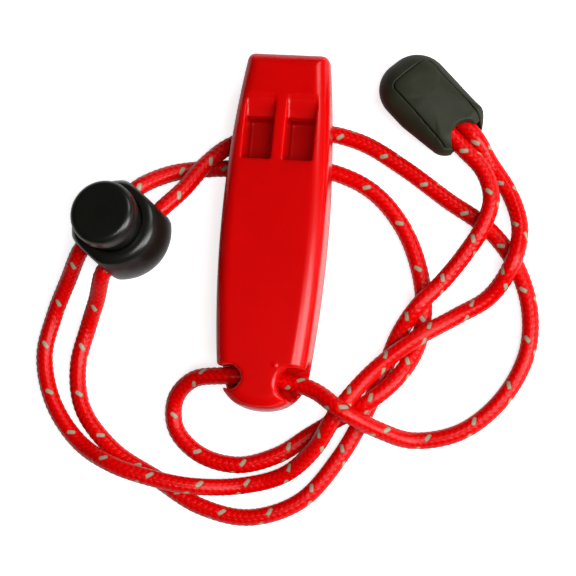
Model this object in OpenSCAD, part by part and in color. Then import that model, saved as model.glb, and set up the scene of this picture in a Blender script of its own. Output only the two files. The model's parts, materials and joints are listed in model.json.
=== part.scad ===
// Training whistle on a neck cord: a slim whistle with two chambers, a braided
// cord threaded through its tail, a round two-hole cord lock with a sprung button,
// and a cord end with a hinged lid that holds both tips of the cord.
// Millimetres. The whistle lies on its flat back, +Y is its mouth end, +Z its front.
// The origin is the bottom centre of the whistle's own box.

/* [Whistle body] */
// Length from the mouth end to the tail
whistle_l = 67; // [64:0.5:72]
// Greatest width
whistle_w = 19.4; // [18.6:0.2:24]
// Greatest thickness
whistle_t = 13.4; // [12.8:0.1:16]
// Radius of the long curve of each side
side_r = 247; // [220:1:500]
// How far the widest place lies ahead of the middle
widest_y = 1; // [-4:0.5:4]
// Radius of the long curve of the front
front_r = 307; // [280:1:600]
// How far the thickest place lies behind the middle
crown_back = 8; // [4:0.5:12]
// Rounding of the outer edges
edge_r = 1.8; // [1:0.1:2]
// Radius of the round tail
tail_r = 8.4; // [7.8:0.1:9]
// Where the flat of the back ends and the back starts to rise
flat_end_y = -2; // [-6:0.5:0]
// Where that rise ends, behind the mouthpiece
rise_end_y = 9.5; // [8:0.5:10]
// Height of the back at the end of the rise
rise_z = 3.65; // [3.5:0.05:4]
// Height of the back at the mouth end
mouth_back_z = 4.4; // [4:0.1:4.8]
// Height of the join between the two shells at the tail
join_tail_z = 4.4; // [4:0.1:5]

/* [Air ways] */
// Width of each of the two air ways
channel_w = 5.45; // [4.6:0.05:5.8]
// Rib between the two air ways
rib_w = 2.3; // [1.8:0.1:3]
// Distance from the mouth end to the windows
mouthpiece_l = 12.5; // [12:0.1:14]
// Length of the windows
window_l = 8.1; // [6:0.1:9]
// Height of the blowing slots at the mouth
slot_h = 1.8; // [1.4:0.1:2]
// Height of the blowing slots at the windows
jet_h = 1.2; // [1:0.1:1.4]
// Thickness of the lip over each blowing slot
lip_t = 0.5; // [0.4:0.05:0.8]
// How deep the lip lies below the front
lip_depth = 1.6; // [1.4:0.1:2]
// Length of the ramp from the front down to the lip
ramp_l = 4.8; // [4:0.1:8]
// Thickness of the edge that splits the air
edge_t = 0.35; // [0.3:0.05:0.6]
// Length over which the wall behind that edge thickens
edge_l = 6.6; // [5:0.1:8]
// Wall in front of the chambers
front_wall = 2.2; // [1.8:0.1:2.6]
// Wall behind the chambers
back_wall = 1.6; // [1.2:0.1:2]
// Wall between the longer chamber and the cord's recesses
tail_wall = 4; // [2:0.1:5]
// How much shorter the second chamber is
shorter_by = 6; // [3:0.5:10]
// Play of the slot blocks between the channel walls
block_play = 0.05; // [0.02:0.01:0.1]

/* [Cord eye in the tail] */
// Distance from the tail to the tunnel
tunnel_in = 6.2; // [6:0.1:7]
// Height of the tunnel
tunnel_z = 7.2; // [6.8:0.1:7.6]
// Room around the cord in the tunnel
tunnel_play = 0.5; // [0.4:0.05:0.8]
// Width of the bridge between the two recesses
bridge_w = 6.6; // [5.6:0.1:7.6]
// Length of the straight part of the tunnel
tunnel_l = 5.4; // [4.6:0.1:5.5]
// Radius of the recesses
recess_r = 3; // [2.8:0.1:3.4]
// Radius of the flared mouth of the tunnel
flare_r = 3.6; // [3.4:0.1:4.2]
// Length of the flare
flare_l = 5.2; // [4.8:0.1:6]
// Diameter of the moulding mark
gate_d = 1.2; // [1:0.1:1.6]

/* [Cord] */
// Diameter of the cord
cord_d = 3.2; // [2.8:0.1:3.4]

/* [Cord lock] */
// Diameter of the ball
ball_d = 18.6; // [18:0.1:20]
// Distance across the flats that the cord passes through
flats_w = 15.2; // [15:0.1:17.4]
// Height of the top flat above the ball's middle
ball_top = 5.5; // [5.3:0.1:6]
// Rounding of the rim
rim_r = 0.8; // [0.5:0.1:1]
// Distance between the two cord holes
hole_gap = 6.5; // [6:0.1:6.8]
// Room around the cord in each hole
hole_play = 0.4; // [0.3:0.05:0.5]
// Diameter of the button's head
head_d = 12.3; // [12:0.1:13.4]
// Thickness of the button's head
head_h = 3.5; // [3:0.1:5]
// Rounding of the button's head
head_edge = 1.4; // [0.8:0.1:1.6]
// Diameter of the button's stem
stem_d = 11.2; // [10.8:0.1:11.4]
// Play of the stem in the barrel
stem_play = 0.1; // [0.05:0.01:0.15]
// How far the button is pressed
press = 3; // [2.4:0.1:3]
// Room between the slots and the cord
slot_play = 0.1; // [0.05:0.01:0.2]
// Thickness of the stem below its slots
sill = 1.6; // [1.2:0.1:1.8]
// Outer diameter of the spring
spring_d = 4.2; // [3.6:0.1:4.4]
// Wire of the spring
wire_d = 0.4; // [0.3:0.05:0.5]
// Turns of the spring
turns = 5; // [4:1:6]

/* [Cord end] */
// Width of the cord end
end_w = 13.7; // [13.2:0.1:15]
// Height of the cord end
end_h = 9; // [8.8:0.1:10]
// Distance between the cords inside
tips_gap = 3.4; // [3.4:0.05:3.6]
// Width of the pocket for both cords
pocket_w = 7.6; // [7.4:0.1:8]
// Height of the pocket for both cords
pocket_h = 3.5; // [3.4:0.1:3.8]
// Width of the lid
lid_w = 8.8; // [8.2:0.1:9]
// Gap around the lid
lid_gap = 0.2; // [0.15:0.01:0.3]
// Diameter of the lid's hinge pins
pin_d = 1.6; // [1.6:0.1:2]
// Length of each hinge pin
pin_l = 0.6; // [0.6:0.1:1]
// Play of the hinge pins
pin_play = 0.05; // [0.03:0.01:0.08]
// Radius of the arch in the lid over the cords
arch_r = 3.4; // [3.3:0.1:4]

/* [Hidden] */
$fn = 48;
red = "#d40808";
cord_red = "#e01010";
near_black = "#1c1c17";
olive_black = "#3a3d33";
steel = "#b8bcc0";
ball_fn = 32;             // facets of a rounded edge
tail_step = 15;           // degrees between the spheres that round the tail
body_steps = 7;           // stretches between the rounded sections of the body
past = 2;                 // how far a cut runs past a face
join_drop = 0.2;          // the join ends this far below the floor of the blowing slots
floor_ease = 1;           // how far ahead of the rise of the back the chambers' floors rise
gate_x = 2.9;             // place of the moulding mark
gate_y = -24.9;
gate_up = 0.12;           // how far the moulding mark stands up
belly = 0.1;              // half the depth that the flat of the back is cut by
mouth_y = whistle_l / 2;
tail_y = tail_r - mouth_y;
lip_y = mouth_y - mouthpiece_l;
labium_y = lip_y - window_l;
hinge_y = tunnel_in - mouth_y;
cord_r = cord_d / 2;
channel_x = (rib_w + channel_w) / 2;
recess_x = bridge_w / 2 + recess_r;
long_end_y = hinge_y + recess_r + tail_wall;
roof_z = whistle_t - front_wall;
slot_floor_z = (mouth_back_z + front_z(mouth_y) - slot_h) / 2;
join_mouth_z = slot_floor_z - join_drop;
lip_z = front_z(lip_y) - lip_depth;
jet_floor_z = lip_z - lip_t - jet_h;

// Cord lock: the ball lies on the ground, its holes point along its own x
lock_at = [-28.8, -1.5, ball_d / 2];
lock_turn = -128;
lock_tilt = 9;
lock_pitch = -3;
cord_lift = 0.35;         // the button's spring holds the cord this far above the hole's middle
cord_stand = 0.4;         // the cord runs straight this far past the flats
press_spare = 0.45;       // room left below the stem when the button is pressed
head_spare = 0.1;         // room left below the head when the button is pressed
lock_end = flats_w / 2 + cord_stand;
ball_r = ball_d / 2;
rim_steps = 5;            // facets of the rounded rim
slot_low = cord_lift - cord_r - slot_play;
slot_high = cord_lift + cord_r + press + slot_play;
stem_low = slot_low - sill;
bore_low = stem_low - press - press_spare;
head_low = ball_top + press + head_spare;
spring_pocket = 0.75;     // depth of the spring's seat in the stem
spring_seat = 1.9;        // depth of the spring's seat below the bore
spring_top = stem_low + spring_pocket;
spring_low = bore_low - spring_seat;
spring_play = 0.2;        // room around the spring
slot_side_play = 0.2;     // room beside the cord in the slots

// Cord end: its own x points out of its mouth, and it lies rolled over a little
end_at = [26.9, 25.7, end_h / 2 + 0.3];
end_turn = -43.8;
end_roll = -19;
end_mouth_x = 9.7;
heel_r = 5.9;             // rounding of the heel, and the places of its round sections
heel_x = -4.7;
waist_x = -1;
corner_r = 3.4;           // rounding of the corner on the far side of the mouth
corner_y = -2.3;
corner_in = 0.9;          // how much lower that corner is than the heel
wall_r = 1.9;             // rounding of the corner on the near side
wall_x = 6.4;
wall_y = 4.7;
nib_r = 1;                // small nib beside the cords, where a nail lifts the lid
nib_y = 4.2;
nib_z = -1.4;
end_tip_x = -0.6;
pin_x = -4.7;
pin_z = 2.3;
pocket_y = 0.6;           // middle of the pocket, across and in height
pocket_z = -0.15;
pocket_back_x = -4;
lid_under_z = pocket_z + pocket_h / 2;
lid_rear_r = 2.1;
lid_corner_r = 1.3;       // rounding of the lid's two rear corners
arch_out = 0.1;           // how far ahead of the mouth the arch has its middle

// Points of the cord, from the tip under the lid's near side, once around and back
cord_out = [
    [37.4, 14, 4.9], [39.2, 9, 5], [38, 3.6, 5], [35.2, -1.4, 4.5], [31.2, -7, 4.2], [27.3, -11.6, 5],
    [24, -16.8, 3.2], [21.7, -23, 1.6], [18.7, -31.6, 1.6], [14.4, -40.5, 1.6], [7.8, -49, 1.6],
    [-1.5, -52.8, 1.6], [-11, -51.5, 1.6], [-20, -46.9, 1.6], [-28.5, -42.4, 1.6],
    [-35.2, -35.2, 1.6], [-37, -27, 1.6], [-35.4, -19.4, 2.6], [-33.4, -14.6, 5.8]
];
cord_loop = [
    [-18.2, 6.9, 7.8], [-14.8, 12.5, 5.1], [-11, 16.8, 2.2], [-4, 19.7, 1.6], [5, 20.4, 1.6],
    [14, 18.7, 1.6], [22.5, 14.2, 1.6], [31, 8.6, 1.6], [38.7, 3.8, 1.6], [44.3, -2.7, 1.6],
    [47.4, -10.8, 1.6], [47.4, -19, 1.6], [43.5, -27.5, 1.6], [36.5, -34, 1.6], [28, -36.3, 2],
    [21.6, -34.9, 6.1], [15.5, -32.2, 10.2], [9.8, -28.8, 8.7]
];
cord_back = [
    [-13.6, -28.3, 5.7], [-17.1, -32, 3.2], [-16.9, -37.4, 1.6], [-12.1, -41.8, 1.6],
    [-4.6, -43.3, 1.6], [3, -40.8, 1.6], [8.8, -36.6, 1.6], [13.8, -33.3, 2.7], [18.8, -30.5, 4.9],
    [24.2, -25.3, 4.3], [27.2, -19.2, 1.9], [28, -12.5, 1.6], [26.7, -5, 1.6], [23, 3, 1.6],
    [16.8, 9.5, 1.6], [8.5, 12.9, 1.6], [-0.5, 13.4, 1.6], [-8, 12.6, 1.6], [-14.8, 12.2, 1.6],
    [-21.3, 10.4, 4.9]
];
cord_in = [
    [-39.3, -11, 5.6], [-42.4, -17.5, 2.1], [-43.8, -25.5, 1.6], [-41.2, -34.3, 1.6],
    [-35.5, -41.2, 2.2], [-27.8, -45.1, 4.8], [-19.6, -47.1, 4.8], [-12, -47.9, 4],
    [-3.5, -47.1, 1.6], [4.5, -44.4, 2.2], [10, -39.3, 4.5], [14.2, -32.2, 6.8], [19.8, -24.6, 5.8],
    [27, -18, 5.1], [34.2, -13, 2.8], [40, -9, 2.8], [44, -2.4, 5], [45, 4.2, 3.4], [43.2, 10.6, 1.7],
    [39.2, 16.8, 2.6]
];

function half_w(y) = whistle_w / 2 - pow(y - widest_y, 2) / (2 * side_r);
function front_z(y) = whistle_t - pow(y + crown_back, 2) / (2 * front_r);
// The rounded body dips a little below the ground, and the flat of the back is cut from it
function under_z(y) = -(1 + cos(90 * y / mouth_y)) * belly;
function join_z(y) = join_tail_z + (join_mouth_z - join_tail_z) * (y + mouth_y) / whistle_l;

function turn_z(p, a) = [p.x * cos(a) - p.y * sin(a), p.x * sin(a) + p.y * cos(a), p.z];
function turn_x(p, a) = [p.x, p.y * cos(a) - p.z * sin(a), p.y * sin(a) + p.z * cos(a)];
function turn_y(p, a) = [p.x * cos(a) + p.z * sin(a), p.y, p.z * cos(a) - p.x * sin(a)];
function lock_point(along, side) =
    lock_at + turn_z(turn_y(turn_x([along, side * hole_gap / 2, cord_lift], lock_tilt), lock_pitch), lock_turn);
function end_point(along, side) =
    end_at + turn_z(turn_x([along, pocket_y + side * tips_gap / 2, pocket_z], end_roll), end_turn);
function unit(v) = v / norm(v);

module at_lock() {
    translate(lock_at) rotate([0, 0, lock_turn]) rotate([lock_tilt, lock_pitch, 0]) children();
}

module at_end() {
    translate(end_at) rotate([0, 0, end_turn]) rotate([end_roll, 0, 0]) children();
}

// Extrudes a profile drawn in Y and Z across X, centred on x = 0
module across(w) {
    rotate([90, 0, 90]) linear_extrude(w, center = true) children();
}

// Both air ways get the same profile, one on each side of the rib
module each_channel(w) {
    for (side = [-1, 1]) translate([side * channel_x, 0, 0]) across(w) children();
}

// A sphere with its poles fore and aft, so that the sides of the hull get no slivers
module edge_ball() {
    rotate([90, 0, 0]) sphere(edge_r, $fn = ball_fn);
}

// Rounded edges of the whistle at one place along its length
module edge_balls(y, at_y, low) {
    for (side = [-1, 1]) for (z = [front_z(y) - edge_r, low + edge_r]) {
        translate([side * (half_w(y) - edge_r), at_y, z]) edge_ball();
    }
}

module tail_balls() {
    for (a = [180 : tail_step : 360]) {
        x = (tail_r - edge_r) * cos(a);
        y = tail_y + (tail_r - edge_r) * sin(a);
        for (z = [front_z(y) - edge_r, under_z(y) + edge_r]) {
            translate([x, y, z]) edge_ball();
        }
    }
}

// Side view of the whistle: flat back, the rise to the mouthpiece, and a tail
// rounded about the tunnel so that it can swing without lifting
module side_profile() {
    polygon([
        [hinge_y, 0], [flat_end_y, 0], [rise_end_y, rise_z],
        [mouth_y + past, mouth_back_z], [mouth_y + past, whistle_t + past], [hinge_y, whistle_t + past]
    ]);
    translate([hinge_y, tunnel_z]) circle(tunnel_z, $fn = 96);
}

// Outside of the whistle
module whistle_outside() {
    intersection() {
        hull() {
            tail_balls();
            for (i = [1 : body_steps]) {
                y = tail_y + (lip_y - tail_y) * i / body_steps;
                edge_balls(y, y, under_z(y));
            }
            edge_balls(mouth_y, mouth_y - edge_r, mouth_back_z);
        }
        across(2 * whistle_w) side_profile();
    }
}

// The half space below the join, as a profile
module below_join() {
    polygon([
        [-whistle_l, -past], [whistle_l, -past], [whistle_l, join_z(whistle_l)], [-whistle_l, join_z(-whistle_l)]
    ]);
}

// Half outline of a recess: round below, straight above
module recess_outline() {
    intersection() {
        union() {
            circle(recess_r);
            translate([-recess_r, 0]) square([2 * recess_r, whistle_t]);
        }
        translate([0, -recess_r]) square([recess_r, whistle_t + recess_r]);
    }
}

// Cord eye: a tunnel with flared mouths, and one recess on each side, open to the front
module cord_eye() {
    bore_r = cord_r + tunnel_play;
    mouth_x = bridge_w / 2 + flare_l;
    translate([0, hinge_y, tunnel_z]) {
        rotate([0, 90, 0]) rotate_extrude() polygon([
            [0, -mouth_x], [flare_r, -mouth_x], [bore_r, -tunnel_l / 2],
            [bore_r, tunnel_l / 2], [flare_r, mouth_x], [0, mouth_x]
        ]);
        for (side = [-1, 1]) translate([side * recess_x, 0, 0]) rotate_extrude() recess_outline();
    }
}

module front_shell() {
    color(red) difference() {
        union() {
            difference() {
                whistle_outside();
                across(2 * whistle_w) below_join();
            }
            translate([gate_x, gate_y, roof_z]) cylinder(h = front_z(gate_y) + gate_up - roof_z, d = gate_d);
        }
        // blowing slots and the fronts of both chambers
        each_channel(channel_w) polygon([
            [long_end_y + shorter_by, 0], [long_end_y + shorter_by, roof_z], [labium_y - edge_l, roof_z],
            [labium_y, front_z(labium_y) - edge_t], [lip_y, lip_z - lip_t],
            [mouth_y, slot_floor_z + slot_h], [mouth_y + past, slot_floor_z + slot_h], [mouth_y + past, 0]
        ]);
        translate([channel_x, 0, 0]) across(channel_w) long_chamber();
        // windows, with the ramp above each
        each_channel(channel_w) polygon([
            [lip_y + ramp_l, front_z(lip_y + ramp_l)], [lip_y, lip_z], [lip_y, roof_z - past],
            [labium_y, roof_z - past], [labium_y, whistle_t + past], [lip_y + ramp_l, whistle_t + past]
        ]);
        cord_eye();
    }
}

// The part of the longer chamber that lies behind the shorter one
module long_chamber() {
    translate([long_end_y, back_wall]) square([shorter_by + past, roof_z - back_wall]);
}

module back_cover() {
    color(red) difference() {
        intersection() {
            whistle_outside();
            union() {
                across(2 * whistle_w) below_join();
                // blocks that make the floors of the blowing slots
                each_channel(channel_w - 2 * block_play) polygon([
                    [lip_y, join_z(lip_y) - past], [lip_y, jet_floor_z],
                    [mouth_y, slot_floor_z], [mouth_y, join_mouth_z - past]
                ]);
            }
        }
        // backs of both chambers, with a floor that follows the rise of the back
        each_channel(channel_w) polygon([
            [long_end_y + shorter_by, back_wall], [flat_end_y - floor_ease, back_wall],
            [rise_end_y - floor_ease, rise_z + back_wall], [rise_end_y - floor_ease, roof_z],
            [long_end_y + shorter_by, roof_z]
        ]);
        translate([channel_x, 0, 0]) across(channel_w) long_chamber();
        cord_eye();
    }
}

// One ring of the cord, square to the way it runs; sides is the number of corners
function ring(p, way, r, sides) =
    let (flat = unit(cross(way, [0, 0, 1])), up = cross(flat, way))
    [for (k = [0 : sides - 1]) let (a = 360 * (k + 0.5) / sides) p + r * cos(a) * flat + r * sin(a) * up];

// A tube of the given radius along a list of points
module tube(points, r, sides) {
    n = len(points);
    ways = [for (i = [0 : n - 1]) unit(points[min(i + 1, n - 1)] - points[max(i - 1, 0)])];
    polyhedron(
        points = [for (i = [0 : n - 1]) each ring(points[i], ways[i], r, sides)],
        faces = concat(
            [[for (k = [sides - 1 : -1 : 0]) k]],
            [for (i = [0 : n - 2]) for (k = [0 : sides - 1])
                let (a = i * sides + k, b = i * sides + (k + 1) % sides) [a, b, b + sides, a + sides]],
            [[for (k = [0 : sides - 1]) (n - 1) * sides + k]]
        )
    );
}

module cord() {
    eye_out = bridge_w / 2 + flare_l;
    route = concat(
        [end_point(end_tip_x, -1), end_point(end_mouth_x, -1)], cord_out,
        [lock_point(lock_end, 1), lock_point(-lock_end, 1)], cord_loop,
        [[bridge_w / 2, hinge_y, tunnel_z], [-eye_out, hinge_y, tunnel_z]], cord_back,
        [lock_point(-lock_end, -1), lock_point(lock_end, -1)], cord_in,
        [end_point(end_mouth_x, 1), end_point(end_tip_x, 1)]
    );
    color(cord_red) tube(route, cord_r, 8);
}

// What the ball is cut to: a flat top with a rounded rim that runs out on the ball
module ball_cut_outline() {
    rim_z = ball_top - rim_r;
    rim_x = sqrt(pow(ball_r - rim_r, 2) - pow(rim_z, 2));
    rim_a = atan2(rim_z, rim_x);
    arc = [for (i = [0 : rim_steps]) let (a = rim_a + (90 - rim_a) * i / rim_steps)
        [rim_x + rim_r * cos(a), rim_z + rim_r * sin(a)]];
    polygon(concat([[0, -ball_d], [ball_d, -ball_d], 4 * arc[0] - 3 * arc[1]], [for (i = [1 : rim_steps]) arc[i]], [[0, ball_top]]));
}

module lock_barrel() {
    color(near_black) at_lock() difference() {
        intersection() {
            sphere(ball_r, $fn = 96);
            rotate_extrude($fn = 96) ball_cut_outline();
            cube([flats_w, 2 * ball_d, 2 * ball_d], center = true);
        }
        translate([0, 0, bore_low]) cylinder(h = ball_d, d = stem_d + 2 * stem_play, $fn = 96);
        translate([0, 0, spring_low]) cylinder(h = ball_d / 2, d = spring_d + 2 * spring_play);
        for (side = [-1, 1]) translate([0, side * hole_gap / 2, 0]) rotate([0, 90, 0]) {
            cylinder(h = ball_d, r = cord_r + hole_play, center = true);
        }
    }
}

// Half outline of the button's head, with a rounded edge
module head_outline() {
    head_r = head_d / 2;
    union() {
        square([head_r, head_h - head_edge]);
        square([head_r - head_edge, head_h]);
        translate([head_r - head_edge, head_h - head_edge]) circle(head_edge);
    }
}

module lock_button() {
    slot_w = cord_d + 2 * slot_side_play;
    color(near_black) at_lock() difference() {
        union() {
            translate([0, 0, head_low]) rotate_extrude($fn = 96) head_outline();
            translate([0, 0, stem_low]) cylinder(h = head_low - stem_low, d = stem_d, $fn = 96);
        }
        for (side = [-1, 1]) translate([-stem_d, side * hole_gap / 2 - slot_w / 2, slot_low]) {
            cube([2 * stem_d, slot_w, slot_high - slot_low]);
        }
        translate([0, 0, stem_low - past]) cylinder(h = past + spring_pocket, d = spring_d + 2 * spring_play);
    }
}

module lock_spring() {
    coil_r = (spring_d - wire_d) / 2;
    rise = spring_top - spring_low - wire_d;
    steps = 12 * turns;
    color(steel) at_lock() tube(
        [for (i = [0 : steps]) let (a = 360 * turns * i / steps)
            [coil_r * cos(a), coil_r * sin(a), spring_low + wire_d / 2 + rise * i / steps]],
        wire_d / 2, 6);
}

// One round section of the cord end
module end_ball(at, r, half_h) {
    translate(at) scale([r, r, half_h]) sphere(1, $fn = 40);
}

// Outside of the closed cord end: a rounded heel that narrows to its mouth
module end_outside() {
    side_y = end_w / 2 - heel_r;
    hull() {
        for (x = [heel_x, waist_x], side = [-1, 1]) end_ball([x, side * side_y, 0], heel_r, end_h / 2);
        end_ball([end_mouth_x - corner_r, corner_y, 0], corner_r, end_h / 2 - corner_in);
        end_ball([wall_x, wall_y, 0], wall_r, end_h / 2 - corner_in);
        end_ball([end_mouth_x - nib_r, nib_y, nib_z], nib_r, nib_r);
    }
}

// Outline of the lid seen from above, with rounded rear corners
module lid_plan(gap) {
    rear_x = pin_x - lid_rear_r - gap;
    translate([rear_x, -lid_w / 2 - gap]) offset(lid_corner_r) offset(-lid_corner_r) {
        square([end_w + end_mouth_x, lid_w + 2 * gap]);
    }
}

// The block that the lid is cut from, and with a gap the notch that it lies in
module lid_block(gap) {
    width = lid_w + 2 * gap;
    intersection() {
        union() {
            translate([pin_x, -width / 2, lid_under_z - gap]) cube([end_w + past, width, end_h]);
            translate([pin_x, 0, pin_z]) rotate([90, 0, 0]) {
                cylinder(h = width, r = lid_rear_r + gap, center = true);
            }
        }
        linear_extrude(2 * end_h, center = true) lid_plan(gap);
    }
}

module cord_end_body() {
    color(olive_black) at_end() difference() {
        end_outside();
        lid_block(lid_gap);
        // room for the lid's shoulder as it stands up
        translate([0, 0, pin_z]) linear_extrude(end_h) lid_plan(lid_gap);
        translate([pocket_back_x, pocket_y - pocket_w / 2, pocket_z - pocket_h / 2]) {
            cube([end_w + past, pocket_w, pocket_h]);
        }
        translate([pin_x, 0, pin_z]) rotate([90, 0, 0]) {
            cylinder(h = lid_w + 2 * lid_gap + 2 * pin_l, d = pin_d + 2 * pin_play, center = true);
        }
    }
}

module cord_end_lid() {
    color(olive_black) at_end() union() {
        difference() {
            intersection() {
                end_outside();
                lid_block(0);
            }
            translate([end_mouth_x + arch_out, 0, 0]) cylinder(h = 2 * end_h, r = arch_r, center = true);
        }
        translate([pin_x, 0, pin_z]) rotate([90, 0, 0]) {
            cylinder(h = lid_w + 2 * pin_l, d = pin_d, center = true);
        }
    }
}

front_shell();
back_cover();
cord();
lock_barrel();
lock_button();
lock_spring();
cord_end_body();
cord_end_lid();
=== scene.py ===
# %% [markdown]
# # A training whistle on its neck cord
#
# The real object has eight pieces: the two shells of a glossy red whistle, a braided
# cord, the ball, button and spring of a cord lock, and a cord end with its lid. The frame
# holds their sizes and how they move. This lesson gives them their looks. Lengths are in
# metres where Blender reads them, and in millimetres inside a piece's own field.

# %% The frame and what it says of the whistle
import json
import math
from functools import reduce

import bpy
import numpy as np
from mathutils import Euler, Matrix, Vector


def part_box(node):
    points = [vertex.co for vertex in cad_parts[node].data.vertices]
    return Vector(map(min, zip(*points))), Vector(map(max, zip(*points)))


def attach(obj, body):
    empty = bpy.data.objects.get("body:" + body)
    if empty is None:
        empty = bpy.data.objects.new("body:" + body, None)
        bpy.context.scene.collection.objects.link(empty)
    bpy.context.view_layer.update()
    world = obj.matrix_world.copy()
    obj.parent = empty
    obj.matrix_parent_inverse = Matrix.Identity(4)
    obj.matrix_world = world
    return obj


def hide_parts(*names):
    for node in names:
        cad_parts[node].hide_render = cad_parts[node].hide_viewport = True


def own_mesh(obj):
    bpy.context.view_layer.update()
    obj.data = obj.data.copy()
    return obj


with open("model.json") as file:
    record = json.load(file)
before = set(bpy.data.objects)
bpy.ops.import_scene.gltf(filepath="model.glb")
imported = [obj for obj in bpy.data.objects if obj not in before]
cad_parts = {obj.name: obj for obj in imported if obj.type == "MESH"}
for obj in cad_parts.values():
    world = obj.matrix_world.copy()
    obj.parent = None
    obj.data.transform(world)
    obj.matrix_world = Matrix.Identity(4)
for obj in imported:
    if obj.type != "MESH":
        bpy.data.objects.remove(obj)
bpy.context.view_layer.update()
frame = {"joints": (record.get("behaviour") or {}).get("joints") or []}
scene = bpy.context.scene
scene.view_settings.view_transform = "Standard"
MM = 0.001
JOINTS = {joint["name"]: joint for joint in frame["joints"]}
shell_boxes = [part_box("front_shell"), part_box("back_cover")]
lowest, highest = np.min(shell_boxes, axis=(0, 1)), np.max(shell_boxes, axis=(0, 1))
WIDTH, LENGTH, THICKNESS = [round(float(size), 1) for size in (highest - lowest) / MM]
print(f"whistle: {LENGTH} x {WIDTH} x {THICKNESS} mm; joints: {', '.join(JOINTS)}")

# %% [markdown]
# ## Colours and nodes
#
# Every finish is a tree of nodes, and so are the braid and the spring. Trees put together
# by hand can't be made again, so one small helper adds a node with its settings and its
# links. A long sum would still fill pages, so sums are written as text, one step to a
# line, and turned into Math nodes. Each word after the operation is a value that the sum
# was given, the name of an earlier line, or a number.

# %% Helpers for colours and nodes
def linear(code):
    """The linear colour of an sRGB hex value such as #c80404."""
    parts = [int(code[i : i + 2], 16) / 255 for i in (1, 3, 5)]
    return [c / 12.92 if c <= 0.04045 else ((c + 0.055) / 1.055) ** 2.4 for c in parts] + [1]


def add(tree, kind, inputs=None, **settings):
    """Adds a node. inputs maps its sockets, by name or place, to values or to other sockets."""
    node = tree.nodes.new(kind)
    for key, value in settings.items():
        setattr(node, key, value)
    for key, value in (inputs or {}).items():
        if isinstance(value, bpy.types.NodeSocket):
            tree.links.new(value, node.inputs[key])
        else:
            node.inputs[key].default_value = value
    return node


def work_out(tree, steps, **known):
    """Adds a Math node for each line, such as "half = DIVIDE width 2". Gives all values by name."""
    for step in steps.strip().splitlines():
        name, _, operation, *terms = step.split()
        inputs = {place: known[term] if term in known else float(term) for place, term in enumerate(terms)}
        known[name] = add(tree, "ShaderNodeMath", inputs, operation=operation).outputs[0]
    return known


def new_material(name):
    """An empty material and its tree."""
    material = bpy.data.materials.new(name)
    material.use_nodes = True
    material.node_tree.nodes.clear()
    return material, material.node_tree


print(f"sRGB #808080 is {linear('#808080')[0]:.3f} in linear light")

# %% [markdown]
# ## How a piece joins the frame
#
# Every piece rides on a body of the frame, so that it moves with it. It stands for a plain
# solid, which is then no longer shown.

# %% Helper for a finished piece
def settle(piece, body, slot, *nodes):
    """Lets a finished piece ride on a body and stand for the frame's nodes. The slot is not used."""
    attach(piece, body)
    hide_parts(*nodes)
    print(f"{piece.name} rides on {body} and stands for {', '.join(nodes)}")


# %% [markdown]
# ## Camera
#
# The whistle lies on its back and is seen from almost straight above. A long lens from
# far away keeps the outlines nearly parallel. The camera stands a little to one side
# and is turned by a few degrees, which is easiest to say as a direction and a roll.

# %% Camera
def place_camera(aim, azimuth, elevation, roll, distance, lens):
    """Looks at a point from a direction in degrees. Azimuth 0 is past the tail, 90 to the right."""
    azimuth, elevation = math.radians(azimuth), math.radians(elevation)
    back = Vector((
        math.cos(elevation) * math.sin(azimuth), -math.cos(elevation) * math.cos(azimuth), math.sin(elevation)
    ))
    up = Vector((0, 1, 0))
    up = (up - up.dot(back) * back).normalized()
    up = Matrix.Rotation(math.radians(roll), 3, back) @ up
    right = up.cross(back)
    camera = bpy.data.objects.new("camera", bpy.data.cameras.new("camera"))
    camera.data.lens = lens
    turn = Matrix((right, up, back)).transposed().to_4x4()
    camera.matrix_world = Matrix.Translation(aim + back * distance) @ turn
    scene.collection.objects.link(camera)
    scene.camera = camera
    print(f"camera: {lens} mm lens, {distance} m away")


place_camera(
    aim=Vector((2.45, -9.73, 3.0)) * MM, azimuth=59, elevation=78.3, roll=4.7, distance=0.35, lens=117
)

# %% [markdown]
# ## The cord's route
#
# The cord is one piece. It leaves the cord end, runs through the cord lock, through the
# tunnel in the whistle's tail, back through the lock, and into the cord end again. A
# simulated cord would settle somewhere else each time, so its points are listed.
# They are the frame's own, in metres.

# %% Where the cord lock and the cord end lie
CORD_D = 0.0032  # over the braid
HOLE_GAP = 0.0065  # between the middles of the lock's two cord holes
CORD_LIFT = 0.00035  # the cords pass this far above the middle of the ball
LOCK_RUN = 0.008  # half of the straight run through the lock
POCKET_Y, POCKET_Z = 0.0006, -0.00015  # middle of the cord end's pocket, in the cord end's own frame
TIPS_GAP = 0.0034  # between the two cords in the pocket
TIP_X, MOUTH_X = -0.0006, 0.0097  # where the cords end, and where they come out


def placed(at, tilt, pitch, turn):
    """The place of a piece, with its turns in degrees about x, then y, then z."""
    return Matrix.LocRotScale(Vector(at), Euler([math.radians(angle) for angle in (tilt, pitch, turn)]), None)


AT_LOCK = placed(JOINTS["button_press"]["pos_m"], 9, -3, -128)
AT_END = placed((0.0269, 0.0257, 0.0048), -19, 0, -43.8)


def through_lock(way, side):
    """Points of a straight run through the cord lock, along its x or against it."""
    shares = (-1, -0.75, 0.75, 1)
    return [AT_LOCK @ Vector((way * share * LOCK_RUN, side * HOLE_GAP / 2, CORD_LIFT)) for share in shares]


def end_point(along, side):
    """A point on one of the two cords in the cord end."""
    return AT_END @ Vector((along, POCKET_Y + side * TIPS_GAP / 2, POCKET_Z))


print("cord lock at", AT_LOCK.translation, "and cord end at", AT_END.translation)

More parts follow.
